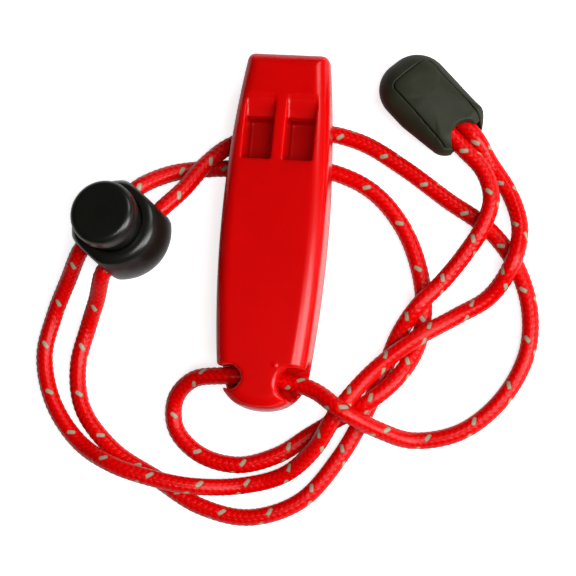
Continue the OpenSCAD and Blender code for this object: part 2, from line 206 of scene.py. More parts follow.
# %% Points of the cord
CORD_OUT = [
    (0.0374, 0.014, 0.0049), (0.0392, 0.009, 0.005), (0.038, 0.0036, 0.005), (0.0352, -0.0014, 0.0045),
    (0.0312, -0.007, 0.0042), (0.0273, -0.0116, 0.005), (0.024, -0.0168, 0.0032),
    (0.0217, -0.023, 0.0016), (0.0187, -0.0316, 0.0016), (0.0144, -0.0405, 0.0016),
    (0.0078, -0.049, 0.0016), (-0.0015, -0.0528, 0.0016), (-0.011, -0.0515, 0.0016),
    (-0.02, -0.0469, 0.0016), (-0.0285, -0.0424, 0.0016), (-0.0352, -0.0352, 0.0016),
    (-0.037, -0.027, 0.0016), (-0.0354, -0.0194, 0.0026), (-0.0334, -0.0146, 0.0058),
]
CORD_LOOP = [
    (-0.0182, 0.0069, 0.0078), (-0.0148, 0.0125, 0.0051), (-0.011, 0.0168, 0.0022),
    (-0.004, 0.0197, 0.0016), (0.005, 0.0204, 0.0016), (0.014, 0.0187, 0.0016),
    (0.0225, 0.0142, 0.0016), (0.031, 0.0086, 0.0016), (0.0387, 0.0038, 0.0016),
    (0.0443, -0.0027, 0.0016), (0.0474, -0.0108, 0.0016), (0.0474, -0.019, 0.0016),
    (0.0435, -0.0275, 0.0016), (0.0365, -0.034, 0.0016), (0.028, -0.0363, 0.002),
    (0.0216, -0.0349, 0.0061), (0.0155, -0.0322, 0.0102), (0.0098, -0.0288, 0.0087),
]
CORD_BACK = [
    (-0.0136, -0.0283, 0.0057), (-0.0171, -0.032, 0.0032), (-0.0169, -0.0374, 0.0016),
    (-0.0121, -0.0418, 0.0016), (-0.0046, -0.0433, 0.0016), (0.003, -0.0408, 0.0016),
    (0.0088, -0.0366, 0.0016), (0.0138, -0.0333, 0.0027), (0.0188, -0.0305, 0.0049),
    (0.0242, -0.0253, 0.0043), (0.0272, -0.0192, 0.0019), (0.028, -0.0125, 0.0016),
    (0.0267, -0.005, 0.0016), (0.023, 0.003, 0.0016), (0.0168, 0.0095, 0.0016),
    (0.0085, 0.0129, 0.0016), (-0.0005, 0.0134, 0.0016), (-0.008, 0.0126, 0.0016),
    (-0.0148, 0.0122, 0.0016), (-0.0213, 0.0104, 0.0049),
]
CORD_IN = [
    (-0.0393, -0.011, 0.0056), (-0.0424, -0.0175, 0.0021), (-0.0438, -0.0255, 0.0016),
    (-0.0412, -0.0343, 0.0016), (-0.0355, -0.0412, 0.0022), (-0.0278, -0.0451, 0.0048),
    (-0.0196, -0.0471, 0.0048), (-0.012, -0.0479, 0.004), (-0.0035, -0.0471, 0.0016),
    (0.0045, -0.0444, 0.0022), (0.01, -0.0393, 0.0045), (0.0142, -0.0322, 0.0068),
    (0.0198, -0.0246, 0.0058), (0.027, -0.018, 0.0051), (0.0342, -0.013, 0.0028),
    (0.04, -0.009, 0.0028), (0.044, -0.0024, 0.005), (0.0447, 0.004, 0.0032), (0.0424, 0.0104, 0.0016),
    (0.0382, 0.0163, 0.0019),
]
HINGE = JOINTS["whistle_swing"]["pos_m"]
TUNNEL = [(x, HINGE[1], HINGE[2]) for x in (0.0033, -0.0085)]  # straight through the tail
ROUTE = [np.array(point) for point in [
    end_point(TIP_X, -1), end_point(MOUTH_X, -1), *CORD_OUT, *through_lock(-1, 1), *CORD_LOOP,
    *TUNNEL, *CORD_BACK, *through_lock(1, -1), *CORD_IN, end_point(MOUTH_X, 1), end_point(TIP_X, 1),
]]
print("cord:", len(ROUTE), "points")

# %% [markdown]
# ## A smooth line through the points
#
# A Bezier curve would need handles at every point. A centripetal Catmull-Rom curve
# needs none: it passes through every point and never overshoots where they lie unevenly.
# It is cut into equal steps, because the braid counts its stitches by length.

# %% Smooth line of the cord
SAMPLES = 48  # points worked out between two given ones


def smooth_route(points, step):
    """Points at equal steps along a centripetal Catmull-Rom curve through the given points."""
    known = np.array([2 * points[0] - points[1], *points, 2 * points[-1] - points[-2]])
    line = []
    for p0, p1, p2, p3 in zip(known, known[1:], known[2:], known[3:]):
        t1 = np.linalg.norm(p1 - p0) ** 0.5
        t2 = t1 + np.linalg.norm(p2 - p1) ** 0.5
        t3 = t2 + np.linalg.norm(p3 - p2) ** 0.5
        t = np.linspace(t1, t2, SAMPLES, endpoint=False)[:, None]
        a1 = (t1 - t) / t1 * p0 + t / t1 * p1
        a2 = (t2 - t) / (t2 - t1) * p1 + (t - t1) / (t2 - t1) * p2
        a3 = (t3 - t) / (t3 - t2) * p2 + (t - t2) / (t3 - t2) * p3
        b1 = (t2 - t) / t2 * a1 + t / t2 * a2
        b2 = (t3 - t) / (t3 - t1) * a2 + (t - t1) / (t3 - t1) * a3
        line.append((t2 - t) / (t2 - t1) * b1 + (t - t1) / (t2 - t1) * b2)
    line = np.concatenate([*line, known[-2:-1]])
    line[:, 2] = np.maximum(line[:, 2], CORD_D / 2)
    way = np.concatenate([[0], np.cumsum(np.linalg.norm(np.diff(line, axis=0), axis=1))])
    stops = np.linspace(0, way[-1], round(way[-1] / step) + 1)
    return np.stack([np.interp(stops, way, line[:, i]) for i in range(3)], 1), way[-1]


BRAID_PITCH = 0.0093  # length in which a yarn goes once round the cord
CARRIERS = 8  # yarns of one hand
STEPS_PER_STITCH = 4
cord_line, cord_length = smooth_route(ROUTE, BRAID_PITCH / CARRIERS / STEPS_PER_STITCH)
print(f"cord: {cord_length / MM:.0f} mm in {len(cord_line)} steps")

# %% [markdown]
# ## The braid
#
# Sixteen carriers lay the cord: eight yarns turn one way round it and eight the other,
# and each passes over two and under two. On the surface that gives short slanted
# stitches in columns. Sixteen swept yarns would be far too heavy, so Geometry Nodes sweep
# one ring along the route and lift each stitch, and the same sums, made a second time in
# the material, colour the yarns sharply.
#
# With u the turn around the cord and v the length in pitches, n (u + v) is whole along the
# yarns of one hand and n (u - v) along those of the other. The sum of the two nearest
# whole numbers, taken over four, says which hand lies on top.

# %% Sums of the braid
BRAID = """
    left_way     = ADD            turn pitches
    right_way    = SUBTRACT       turn pitches
    left         = MULTIPLY       left_way carriers
    right        = MULTIPLY       right_way carriers
    left_yarn    = ROUND          left
    right_yarn   = ROUND          right
    left_off     = SUBTRACT       left left_yarn
    right_off    = SUBTRACT       right right_yarn
    yarns        = ADD            left_yarn right_yarn
    place        = FLOORED_MODULO yarns 4
    left_on_top  = LESS_THAN      place 1.5
    apart        = SUBTRACT       left_off right_off
    across       = MULTIPLY_ADD   left_on_top apart right_off
    both_off     = ADD            left_off right_off
    other_off    = SUBTRACT       both_off across
    second       = FLOORED_MODULO place 2
    half_stitch  = SUBTRACT       second 0.5
    along        = ADD            other_off half_stitch
    side         = ABSOLUTE       across
    side_share   = MULTIPLY       side 1.95
    side_fall    = POWER          side_share 2
    side_crown   = SUBTRACT       1 side_fall
    end          = ABSOLUTE       along
    end_square   = POWER          end 2
    end_fall     = MULTIPLY       end_square 0.8
    end_crown    = SUBTRACT       1 end_fall
    over_side    = MAXIMUM        side_crown 0
    over_end     = MAXIMUM        end_crown 0
    height       = MULTIPLY       over_side over_end
    yarn         = FLOORED_MODULO left_yarn carriers
    first_yarn   = LESS_THAN      yarn 0.5
    tracer       = MULTIPLY       first_yarn left_on_top
"""


def braid(tree, turn, pitches):
    """Values of the braid at a turn around the cord and a length in pitches, as sockets by name."""
    return work_out(tree, BRAID, turn=turn, pitches=pitches, carriers=CARRIERS)


print(f"braid: {2 * CARRIERS} yarns, a stitch each {BRAID_PITCH / CARRIERS / MM:.2f} mm")

# %% [markdown]
# ## Braided polyester
#
# The yarns are spin-dyed red polyester: fine filaments side by side, with a satin shine
# that leaves one small bright dot on each stitch. One yarn in sixteen is wound with a
# grey film of glass beads and shows as a short dash where it comes to the top. An image
# of a braid would smear in the bends, so the sums above colour it, with painted shade and
# painted light: deep red where a yarn dives under its neighbour, bright on its crown. The
# grey dash has painted shade too, darker towards its edges.

# %% Material: braided polyester with a reflective tracer yarn
FILAMENTS = 10  # side by side in a yarn; the real ones are too fine to show, so these are coarser


def braided_polyester():
    """Spun polyester: nearly pure red, since light goes through several filaments before it returns."""
    material, tree = new_material("braided_polyester")
    where = add(tree, "ShaderNodeUVMap", uv_map="braid")
    split = add(tree, "ShaderNodeSeparateXYZ", {0: where.outputs[0]})
    knot = braid(tree, split.outputs[0], split.outputs[1])
    # Painted shade and painted light: by the stitch's height the red is darker in the grooves and brighter on
    # the crowns.
    shade = add(tree, "ShaderNodeValToRGB", {0: knot["height"]})
    shade.color_ramp.elements[0].color = linear("#bc0101")
    shade.color_ramp.elements[1].color = linear("#e20101")
    shade.color_ramp.elements[1].position = 0.7
    # Painted shade: the grey tracer darkens to a dim red-brown towards the edges of its stitch.
    tracer = add(tree, "ShaderNodeValToRGB", {0: knot["height"]})
    tracer.color_ramp.elements[0].color = linear("#8a2a20")
    tracer.color_ramp.elements[1].color = linear("#a6997f")
    tracer.color_ramp.elements[1].position = 0.45
    colour = add(tree, "ShaderNodeMix", {
        0: knot["tracer"], 6: shade.outputs[0], 7: tracer.outputs[0]
    }, data_type="RGBA")
    strands = work_out(tree, """
        angle    = MULTIPLY across filament_turn
        filament = SINE     angle
    """, across=knot["across"], filament_turn=FILAMENTS * 2 * math.pi)
    bump = add(tree, "ShaderNodeBump", {
        "Strength": 0.6, "Distance": 0.004 * MM, "Height": strands["filament"]
    })
    surface = add(tree, "ShaderNodeBsdfPrincipled", {
        "Base Color": colour.outputs[2], "Roughness": 0.24, "IOR": 1.5, "Specular IOR Level": 0.22,
        "Normal": bump.outputs[0],
    })
    add(tree, "ShaderNodeOutputMaterial", {0: surface.outputs[0]})
    return material


red_polyester = braided_polyester()
print(red_polyester.name, "has", len(red_polyester.node_tree.nodes), "nodes")

# %% [markdown]
# ## The braided cord as Geometry Nodes
#
# The ring carries its own turn, from 0 to 1, and the line carries its length. Both are
# caught before the sweep, so that every point of the tube knows where it is on the braid.
# At both tips, where the cord was cut hot, the ring closes to a point over a short way.

# %% Geometry nodes: the braided cord
RING = """
    half   = DIVIDE   diameter 2
    sunk   = MULTIPLY relief 0.75
    radius = SUBTRACT half sunk
    points = ADD      sides 1
"""
LIFT = """
    share      = MAXIMUM  factor 0.000001
    whole      = DIVIDE   length share
    left_over  = SUBTRACT whole length
    near_tip   = MINIMUM  length left_over
    opened     = DIVIDE   near_tip melted_tip
    open_share = MINIMUM  opened 1
    shut       = SUBTRACT 1 open_share
    shut_2     = MULTIPLY shut shut
    dome_2     = SUBTRACT 1 shut_2
    dome       = SQRT     dome_2
    stitch     = MULTIPLY height relief
    raised     = MULTIPLY stitch dome
    closed     = SUBTRACT 1 dome
    inward     = MULTIPLY radius closed
    lift       = SUBTRACT raised inward
"""


def braid_tree():
    tree = bpy.data.node_groups.new("braided cord", "GeometryNodeTree")
    face = tree.interface
    face.new_socket("Geometry", in_out="INPUT", socket_type="NodeSocketGeometry")
    sizes = {"Diameter": CORD_D, "Pitch": BRAID_PITCH, "Relief": 0.13 * MM, "Melted tip": 1.2 * MM}
    for name, value in sizes.items():
        face.new_socket(name, in_out="INPUT", socket_type="NodeSocketFloat").default_value = value
    sides = face.new_socket("Sides", in_out="INPUT", socket_type="NodeSocketInt")
    sides.default_value = STEPS_PER_STITCH * CARRIERS
    face.new_socket("Material", in_out="INPUT", socket_type="NodeSocketMaterial")
    face.new_socket("Geometry", in_out="OUTPUT", socket_type="NodeSocketGeometry")
    given = add(tree, "NodeGroupInput").outputs
    where = add(tree, "GeometryNodeSplineParameter").outputs
    line = add(tree, "GeometryNodeCaptureAttribute")
    line.capture_items.new("FLOAT", "Length")
    line.capture_items.new("FLOAT", "Factor")
    tree.links.new(given["Geometry"], line.inputs[0])
    tree.links.new(where["Length"], line.inputs[1])
    tree.links.new(where["Factor"], line.inputs[2])
    ring_sizes = work_out(
        tree, RING, diameter=given["Diameter"], relief=given["Relief"], sides=given["Sides"]
    )
    ring = add(tree, "GeometryNodeCurveArc", {
        "Resolution": ring_sizes["points"], "Radius": ring_sizes["radius"], "Start Angle": 0.0,
        "Sweep Angle": 2 * math.pi,
    })
    around = add(tree, "GeometryNodeCaptureAttribute")
    around.capture_items.new("FLOAT", "Turn")
    tree.links.new(ring.outputs[0], around.inputs[0])
    tree.links.new(where["Factor"], around.inputs[1])
    tube = add(tree, "GeometryNodeCurveToMesh", {
        "Curve": line.outputs[0], "Profile Curve": around.outputs[0]
    })
    turn = around.outputs["Turn"]
    length = line.outputs["Length"]
    pitches = add(tree, "ShaderNodeMath", {0: length, 1: given["Pitch"]}, operation="DIVIDE").outputs[0]
    place = add(tree, "ShaderNodeCombineXYZ", {0: turn, 1: pitches})
    named = add(tree, "GeometryNodeStoreNamedAttribute", {
        "Geometry": tube.outputs[0], "Name": "braid", "Value": place.outputs[0]
    }, data_type="FLOAT2", domain="CORNER")
    lifted = work_out(
        tree, LIFT, length=length, factor=line.outputs["Factor"], melted_tip=given["Melted tip"],
        height=braid(tree, turn, pitches)["height"], relief=given["Relief"], radius=ring_sizes["radius"],
    )
    normal = add(tree, "GeometryNodeInputNormal")
    offset = add(tree, "ShaderNodeVectorMath", {
        0: normal.outputs[0], "Scale": lifted["lift"]
    }, operation="SCALE")
    moved = add(tree, "GeometryNodeSetPosition", {"Geometry": named.outputs[0], "Offset": offset.outputs[0]})
    merged = add(tree, "GeometryNodeMergeByDistance", {"Geometry": moved.outputs[0], "Distance": 0.02 * MM})
    smooth = add(tree, "GeometryNodeSetShadeSmooth", {"Geometry": merged.outputs[0]})
    real = add(tree, "GeometryNodeRealizeInstances", {0: smooth.outputs[0]})
    dressed = add(tree, "GeometryNodeSetMaterial", {
        "Geometry": real.outputs[0], "Material": given["Material"]
    })
    add(tree, "NodeGroupOutput", {0: dressed.outputs[0]})
    return tree


cord_tree = braid_tree()
print(cord_tree.name, "has", len(cord_tree.nodes), "nodes")

# %% [markdown]
# ## From a tree to a mesh
#
# The frame wants plain meshes. The tree is run once on a helper object, its
# result is copied into a new mesh, and the helper and its modifier are thrown away.

# %% The cord's mesh
def grown(name, base, tree, values):
    """The plain mesh that a tree of geometry nodes makes of an object, as a new object."""
    holder = bpy.data.objects.new(name + "_base", base)
    scene.collection.objects.link(holder)
    modifier = holder.modifiers.new("nodes", "NODES")
    modifier.node_group = tree
    for item in tree.interface.items_tree:
        if item.in_out == "INPUT" and item.name in values:
            modifier[item.identifier] = values[item.name]
    bpy.context.view_layer.update()
    seen = holder.evaluated_get(bpy.context.evaluated_depsgraph_get())
    mesh = bpy.data.meshes.new_from_object(seen, depsgraph=bpy.context.evaluated_depsgraph_get())
    bpy.data.objects.remove(holder)
    mesh.name = name
    piece = bpy.data.objects.new(name, mesh)
    scene.collection.objects.link(piece)
    print(f"{name}: {len(mesh.polygons)} faces")
    return piece


def poly_line(name, points):
    """A curve with one straight-sided spline through the points."""
    curve = bpy.data.curves.new(name, "CURVE")
    curve.dimensions = "3D"
    spline = curve.splines.new("POLY")
    spline.points.add(len(points) - 1)
    spline.points.foreach_set("co", np.column_stack([points, np.ones(len(points))]).ravel())
    return curve


cord = grown("neck_cord", poly_line("cord_line", cord_line), cord_tree, {"Material": red_polyester})
settle(cord, "lanyard", "braided_cord", "cord")

# %% [markdown]
# ## Moulded pieces as fields
#
# A moulded plastic piece has no sharp edges: the steel mould is polished round at each
# one. Bevels are hard to keep clean where slots, ramps and round tunnels meet, so these
# pieces are made another way. A function gives, for any point, roughly how far outside
# the piece it lies, in millimetres, and less than nothing inside. Shapes are then joined
# and cut with simple sums that round the edge as they go.

# %% Fields: joins and cuts with rounded edges
def meet(rounding, *shapes):
    """What all the shapes share, with its edges rounded."""
    grown_in = [shape + rounding for shape in shapes]
    outside = np.sqrt(reduce(np.add, [np.maximum(shape, 0) ** 2 for shape in grown_in]))
    return np.minimum(reduce(np.maximum, grown_in), 0) + outside - rounding


def join(rounding, *shapes):
    return -meet(rounding, *[-shape for shape in shapes])


def cut(rounding, shape, *tools):
    return meet(rounding, shape, *[-tool for tool in tools])


def softer(a, b, k):
    """The higher of two values, passing softly from one to the other."""
    return k * np.logaddexp(a / k, b / k)


print(f"1 mm past both faces of a 0.5 mm edge is {meet(0.5, 1.0, 1.0):.2f} mm outside")


# %% Field of a drawn outline
def outline(points, u, v):
    """Distance from a closed outline in the plane, below zero inside it."""
    near, inside = np.inf, False
    for (u0, v0), (u1, v1) in zip(points, points[1:] + points[:1]):
        du, dv = u1 - u0, v1 - v0
        share = np.clip(((u - u0) * du + (v - v0) * dv) / (du * du + dv * dv), 0, 1)
        near = np.minimum(near, np.hypot(u - u0 - share * du, v - v0 - share * dv))
        crosses = ((v0 <= v) & (v < v1)) | ((v1 <= v) & (v < v0))
        if v0 != v1:
            inside = inside ^ (crosses & (u < u0 + (v - v0) * du / dv))
    return np.where(inside, -near, near)


unit_square = [(0, 0), (1, 0), (1, 1), (0, 1)]
print("middle of a 1 mm square:", float(outline(unit_square, 0.5, 0.5)), "mm")

# %% [markdown]
# ## From a field to a mesh
#
# Marching cubes would leave slivers along every edge. Here each small cube that the
# surface passes through gets one point, and the points of four cubes around a crossed
# edge make a square face. The points are evened out, and then slid along the field's
# slope until they lie on the surface.

# %% A mesh on the surface of a field
SLOPE_REACH = 0.02  # how far to each side, in millimetres, the slope is measured
LEAST_SLOPE = 0.2  # squared; where the field is flatter, a full step would throw a point off


def slope(shape, points):
    """The field's steepest way up at each point."""
    sides = []
    for axis in range(3):
        ahead, behind = points.copy(), points.copy()
        ahead[:, axis] += SLOPE_REACH
        behind[:, axis] -= SLOPE_REACH
        sides.append((shape(*ahead.T) - shape(*behind.T)) / (2 * SLOPE_REACH))
    return np.stack(sides, 1)


def crossed_cubes(shape, low, high, step):
    """One point for each cube that the surface passes through, and the square faces between them."""
    x, y, z = [np.arange(a, b + step, step) for a, b in zip(low, high)]
    inside = np.broadcast_to(
        shape(x[:, None, None], y[None, :, None], z[None, None, :]) < 0, (len(x), len(y), len(z))
    )
    count = sum(
        inside[i : i + len(x) - 1, j : j + len(y) - 1, k : k + len(z) - 1].astype(np.int8)
        for i in (0, 1) for j in (0, 1) for k in (0, 1)
    )
    mixed = (count > 0) & (count < 8)
    number = np.full(mixed.shape, -1)
    number[mixed] = np.arange(mixed.sum())
    quads = []
    for axis in range(3):
        order = (axis, (axis + 1) % 3, (axis + 2) % 3)
        solid, cube = inside.transpose(order), number.transpose(order)
        before, after = solid[:-1, 1:-1, 1:-1], solid[1:, 1:-1, 1:-1]
        for way, crossing in ((1, before & ~after), (-1, ~before & after)):
            i, j, k = np.nonzero(crossing)
            ring = [cube[i, j, k], cube[i, j + 1, k], cube[i, j + 1, k + 1], cube[i, j, k + 1]]
            quads.append(np.stack(ring[::way], 1))
    return np.array(low) + (np.argwhere(mixed) + 0.5) * step, np.concatenate(quads)


def unit_ball(x, y, z):
    return np.sqrt(x**2 + y**2 + z**2) - 1


ball_points, ball_faces = crossed_cubes(unit_ball, (-2, -2, -2), (2, 2, 2), 0.5)
print(f"a 2 mm ball in cubes of 0.5 mm: {len(ball_points)} points, {len(ball_faces)} faces")

# %% [markdown]
# ## Evening out the mesh
#
# Each round moves every point to the middle of its faces and then back onto the surface.
# The last two rounds only pull the points back, so that nothing is left smoothed away.

# %% A finished skin
def skin(name, shape, low, high, step, place, material, rounds=8):
    """A smooth mesh of the surface of a field, worked out in millimetres and set in its place."""
    points, quads = crossed_cubes(shape, low, high, step)
    corners = quads.ravel()
    shares = np.bincount(corners, minlength=len(points))[:, None]
    for done in range(rounds):
        middles = np.repeat(points[quads].mean(1), 4, axis=0)
        even = np.stack([np.bincount(corners, middles[:, i], len(points)) for i in range(3)], 1) / shares
        if done < rounds - 2:
            points = even
        for _ in range(2):
            way = slope(shape, points)
            move = way * (shape(*points.T) / np.maximum((way**2).sum(1), LEAST_SLOPE))[:, None]
            points = points - np.clip(move, -step / 2, step / 2)
    mesh = bpy.data.meshes.new(name)
    mesh.from_pydata(points * MM, [], quads)
    mesh.transform(place)
    mesh.polygons.foreach_set("use_smooth", np.ones(len(quads), bool))
    mesh.materials.append(material)
    piece = bpy.data.objects.new(name, mesh)
    scene.collection.objects.link(piece)
    print(f"{name}: {len(quads)} faces")
    return piece


# %% [markdown]
# ## The whistle's outside
#
# Seen from the front the sides bow out a little and the tail is a round. From the side
# the front bows too, the back lies flat behind and rises ahead of the middle to a slim
# mouthpiece, and the tail is rounded about the cord's tunnel, so that it can swing. Each
# of these is one short sum, and their shared inside is the whistle.

# %% Outside of the whistle
MOUTH_Y = LENGTH / 2
SIDE_R, WIDEST_Y = 247.0, 1.0  # bow of the sides, and where they stand furthest apart
FRONT_R, CROWN_Y = 307.0, -8.0  # bow of the front, and its highest place
FRONT_EDGE_R, BACK_EDGE_R, CORNER_R = 2.8, 2.0, 1.3  # roundings, the last at the mouth's corners
SIDE_DRAFT, PARTING_Z = 0.18, 5.0  # the sides lean in below the mould's parting line
HINGE_Y, TUNNEL_Z = [round(value / MM, 3) for value in HINGE[1:]]
FLAT_END_Y, RISE_END_Y = -2.0, 9.5  # the back is flat, then rises, then runs out to the mouth
RISE_Z, MOUTH_BACK_Z, BACK_BEND = 3.65, 4.4, 0.12
TAIL_START_Y = -26.13  # where the bowed sides turn into the round of the tail


def half_w(y):
    return WIDTH / 2 - (y - WIDEST_Y) ** 2 / (2 * SIDE_R)


def front_z(y):
    return THICKNESS - (y - CROWN_Y) ** 2 / (2 * FRONT_R)


TAIL_SLOPE = (WIDEST_Y - TAIL_START_Y) / SIDE_R
TAIL_R = half_w(TAIL_START_Y) * math.hypot(1, TAIL_SLOPE)
TAIL_Y = TAIL_START_Y + half_w(TAIL_START_Y) * TAIL_SLOPE


def whistle_outside(x, y, z):
    x = np.abs(x) + SIDE_DRAFT * np.maximum(PARTING_Z - z, 0)
    side = np.where(y - TAIL_Y < -TAIL_SLOPE * x, np.hypot(x, y - TAIL_Y) - TAIL_R, x - half_w(y))
    rise = (y - FLAT_END_Y) * RISE_Z / (RISE_END_Y - FLAT_END_Y)
    lip = RISE_Z + (y - RISE_END_Y) * (MOUTH_BACK_Z - RISE_Z) / (MOUTH_Y - RISE_END_Y)
    under = softer(-softer(-rise, -lip, BACK_BEND), 0 * y, BACK_BEND) - z
    tail = np.hypot(np.minimum(y - HINGE_Y, 0), z - TUNNEL_Z) - TUNNEL_Z
    plan = meet(CORNER_R, side, y - MOUTH_Y)
    front = meet(FRONT_EDGE_R, plan, z - front_z(y))
    return np.maximum(front, meet(BACK_EDGE_R, plan, np.maximum(under, tail)))


print(f"tail: a round of {TAIL_R:.2f} mm about y {TAIL_Y:.2f} mm")

# %% [markdown]
# ## The air ways
#
# Breath enters two flat slots in the mouth, leaves each in a thin sheet under a lip, and
# is split by a sharp edge across a window. A long and a short chamber behind the windows
# give two tones at once. All of it is one outline seen from the side, as wide as the slot.

# %% Air ways
CHANNEL_W, RIB_W = 5.45, 2.3  # each air way, and the rib between them
CHANNEL_X = (RIB_W + CHANNEL_W) / 2
LIP_Y = MOUTH_Y - 12.5  # the windows begin at the lip
LABIUM_Y = LIP_Y - 8.1  # and end at the edge that splits the air
SLOT_H, JET_H = 1.8, 1.2  # height of the slot in the mouth, and of the slit under the lip
LIP_T, LIP_DEPTH, RAMP_L = 0.5, 1.5, 4.2  # the lip lies at the foot of a ramp
EDGE_T, EDGE_L = 0.35, 6.6  # thickness of that edge, and length over which it thins
FRONT_WALL, BACK_WALL, FLOOR_LEAD = 2.2, 1.6, 1.0  # the floor bends a little before the back does
ROOF_Z = THICKNESS - FRONT_WALL
SLOT_FLOOR_Z = (MOUTH_BACK_Z + front_z(MOUTH_Y) - SLOT_H) / 2
LIP_Z = front_z(LIP_Y) - LIP_DEPTH
JET_FLOOR_Z = LIP_Z - LIP_T - JET_H
LONG_END_Y, SHORTER_BY = -20.3, 6.0  # where the longer chamber ends, and how much the other lacks
AIR_EDGE, PAST = 0.25, 3.0  # rounding of the air ways, and how far a cut runs past the outside


def in_channel(x):
    """Distance from the side walls of the nearer air way."""
    return np.abs(np.abs(x) - CHANNEL_X) - CHANNEL_W / 2


def air_outline(end_y):
    """Side view of an air way: chamber floor, slot, lip, the ramp above it, window and chamber roof."""
    ramp_h = front_z(LIP_Y + RAMP_L) - LIP_Z
    ramp = [(LIP_Y + s * RAMP_L, LIP_Z + ramp_h * s * s * (3 - 2 * s)) for s in np.linspace(0, 1, 7)]
    return [
        (end_y, BACK_WALL), (FLAT_END_Y - FLOOR_LEAD, BACK_WALL),
        (RISE_END_Y - FLOOR_LEAD, RISE_Z + BACK_WALL), (LIP_Y, RISE_Z + BACK_WALL), (LIP_Y, JET_FLOOR_Z),
        (MOUTH_Y, SLOT_FLOOR_Z), (MOUTH_Y + PAST, SLOT_FLOOR_Z), (MOUTH_Y + PAST, SLOT_FLOOR_Z + SLOT_H),
        (MOUTH_Y, SLOT_FLOOR_Z + SLOT_H), (LIP_Y, LIP_Z - LIP_T), *ramp,
        (LIP_Y + RAMP_L, THICKNESS + PAST), (LABIUM_Y, THICKNESS + PAST),
        (LABIUM_Y, front_z(LABIUM_Y) - EDGE_T), (LABIUM_Y - EDGE_L, ROOF_Z), (end_y, ROOF_Z),
    ]


def air(x, y, z):
    longer = outline(air_outline(LONG_END_Y), y, z)
    shorter = outline(air_outline(LONG_END_Y + SHORTER_BY), y, z)
    return meet(AIR_EDGE, np.where(x > 0, longer, shorter), in_channel(x))


long_chamber = LABIUM_Y - LONG_END_Y
print(f"chambers: {long_chamber:.1f} and {long_chamber - SHORTER_BY:.1f} mm long")

# %% [markdown]
# ## The cord eye
#
# In the tail the cord passes through a flared tunnel under a short bridge. On each side
# of the bridge a round recess, open to the front, lets it come out and turn. The right
# one is wider, because there the cord leaves at a slant. Beside the bridge stands the
# small round mark of the gate, where the plastic ran into the mould.

# %% Cord eye
BRIDGE_W, TUNNEL_L, BORE_R, FLARE_L = 6.6, 5.4, 2.1, 5.2  # the bore is straight, then flares
GROOVE_R = 1.75  # an open groove leads from each recess to the whistle's side
LEFT_EYE = (2.15, HINGE_Y - 0.3, 2.3)  # radius and y of the recess, and radius of the flare
RIGHT_EYE = (3.0, HINGE_Y - 0.9, 3.5)
EYE_BLEND, EYE_RIM, AIR_RIM = 0.5, 0.7, 0.3  # roundings inside the eye, at its rim and around the windows
GATE_X, GATE_Y, GATE_D, GATE_UP = 2.9, -24.9, 1.1, 0.18  # it stands up a fifth of a millimetre


def cord_eye(x, y, z):
    recess_r, recess_y, flare_r = [np.where(x < 0, left, right) for left, right in zip(LEFT_EYE, RIGHT_EYE)]
    x, around = np.abs(x), np.hypot(y - HINGE_Y, z - TUNNEL_Z)
    flare = np.clip((x - TUNNEL_L / 2) / (BRIDGE_W / 2 + FLARE_L - TUNNEL_L / 2), 0, 1.2)
    tunnel = around - BORE_R - (flare_r - BORE_R) * flare
    recess = np.sqrt(
        (x - BRIDGE_W / 2 - recess_r) ** 2 + (y - recess_y) ** 2 + np.minimum(z - TUNNEL_Z, 0) ** 2
    ) - recess_r
    trough = np.hypot(y - HINGE_Y, np.minimum(z - TUNNEL_Z, 0)) - GROOVE_R
    groove = np.maximum(BRIDGE_W / 2 + GROOVE_R - x, trough)
    return join(EYE_BLEND, tunnel, recess, groove)


def whistle(x, y, z):
    gate = GATE_UP * np.maximum(1 - ((x - GATE_X) ** 2 + (y - GATE_Y) ** 2) / (GATE_D / 2) ** 2, 0)
    solid = cut(EYE_RIM, whistle_outside(x, y, z - gate), cord_eye(x, y, z))
    return cut(AIR_RIM, solid, air(x, y, z))


print(f"cord tunnel: {2 * BORE_R:.1f} mm wide for a cord of {CORD_D / MM:.1f} mm")

# %% [markdown]
# ## Two shells
#
# Closed chambers can't be moulded in one piece, so the whistle is welded together from a
# front and a back. The back also carries the floors of the blowing slots.

# %% Front and back of the whistle
JOIN_TAIL_Z, JOIN_DROP = 4.4, 0.2  # height at the tail, and drop below the slots at the mouth
SHELL_EDGE, BLOCK_EDGE = 0.2, 0.1  # roundings along the join


def join_z(y):
    """Height of the join between the two shells."""
    return JOIN_TAIL_Z + (SLOT_FLOOR_Z - JOIN_DROP - JOIN_TAIL_Z) * (y + MOUTH_Y) / LENGTH


def back_zone(x, y, z):
    """What belongs to the back: all below the join, and the floors of the blowing slots."""
    slot_floor = outline([
        (LIP_Y, 0), (LIP_Y, JET_FLOOR_Z), (MOUTH_Y, SLOT_FLOOR_Z),
        (MOUTH_Y + PAST, SLOT_FLOOR_Z), (MOUTH_Y + PAST, 0),
    ], y, z)
    return np.minimum(z - join_z(y), meet(BLOCK_EDGE, slot_floor, in_channel(x)))


def front_half(x, y, z):
    return cut(SHELL_EDGE, whistle(x, y, z), back_zone(x, y, z))


def back_half(x, y, z):
    return meet(SHELL_EDGE, whistle(x, y, z), back_zone(x, y, z))


print(f"join: {join_z(-MOUTH_Y):.1f} mm high at the tail, {join_z(MOUTH_Y):.1f} mm at the mouth")

# %% [markdown]
# ## Polished ABS
#
# The whistle is injection-moulded ABS from a polished tool. It shines, but a thin moulding
# never comes out quite flat, so its reflections waver a little. Light goes a few
# millimetres into the red plastic and comes out again, which warms the shaded sides; a
# plain diffuse red would look like paint there.

# %% Material: polished ABS
ABS_WAVER = 9.1 * MM  # from one low spot of the moulding to the next
ABS_POLISH = 0.4 * MM  # the tool's polishing marks; the real ones are finer than the eye sees


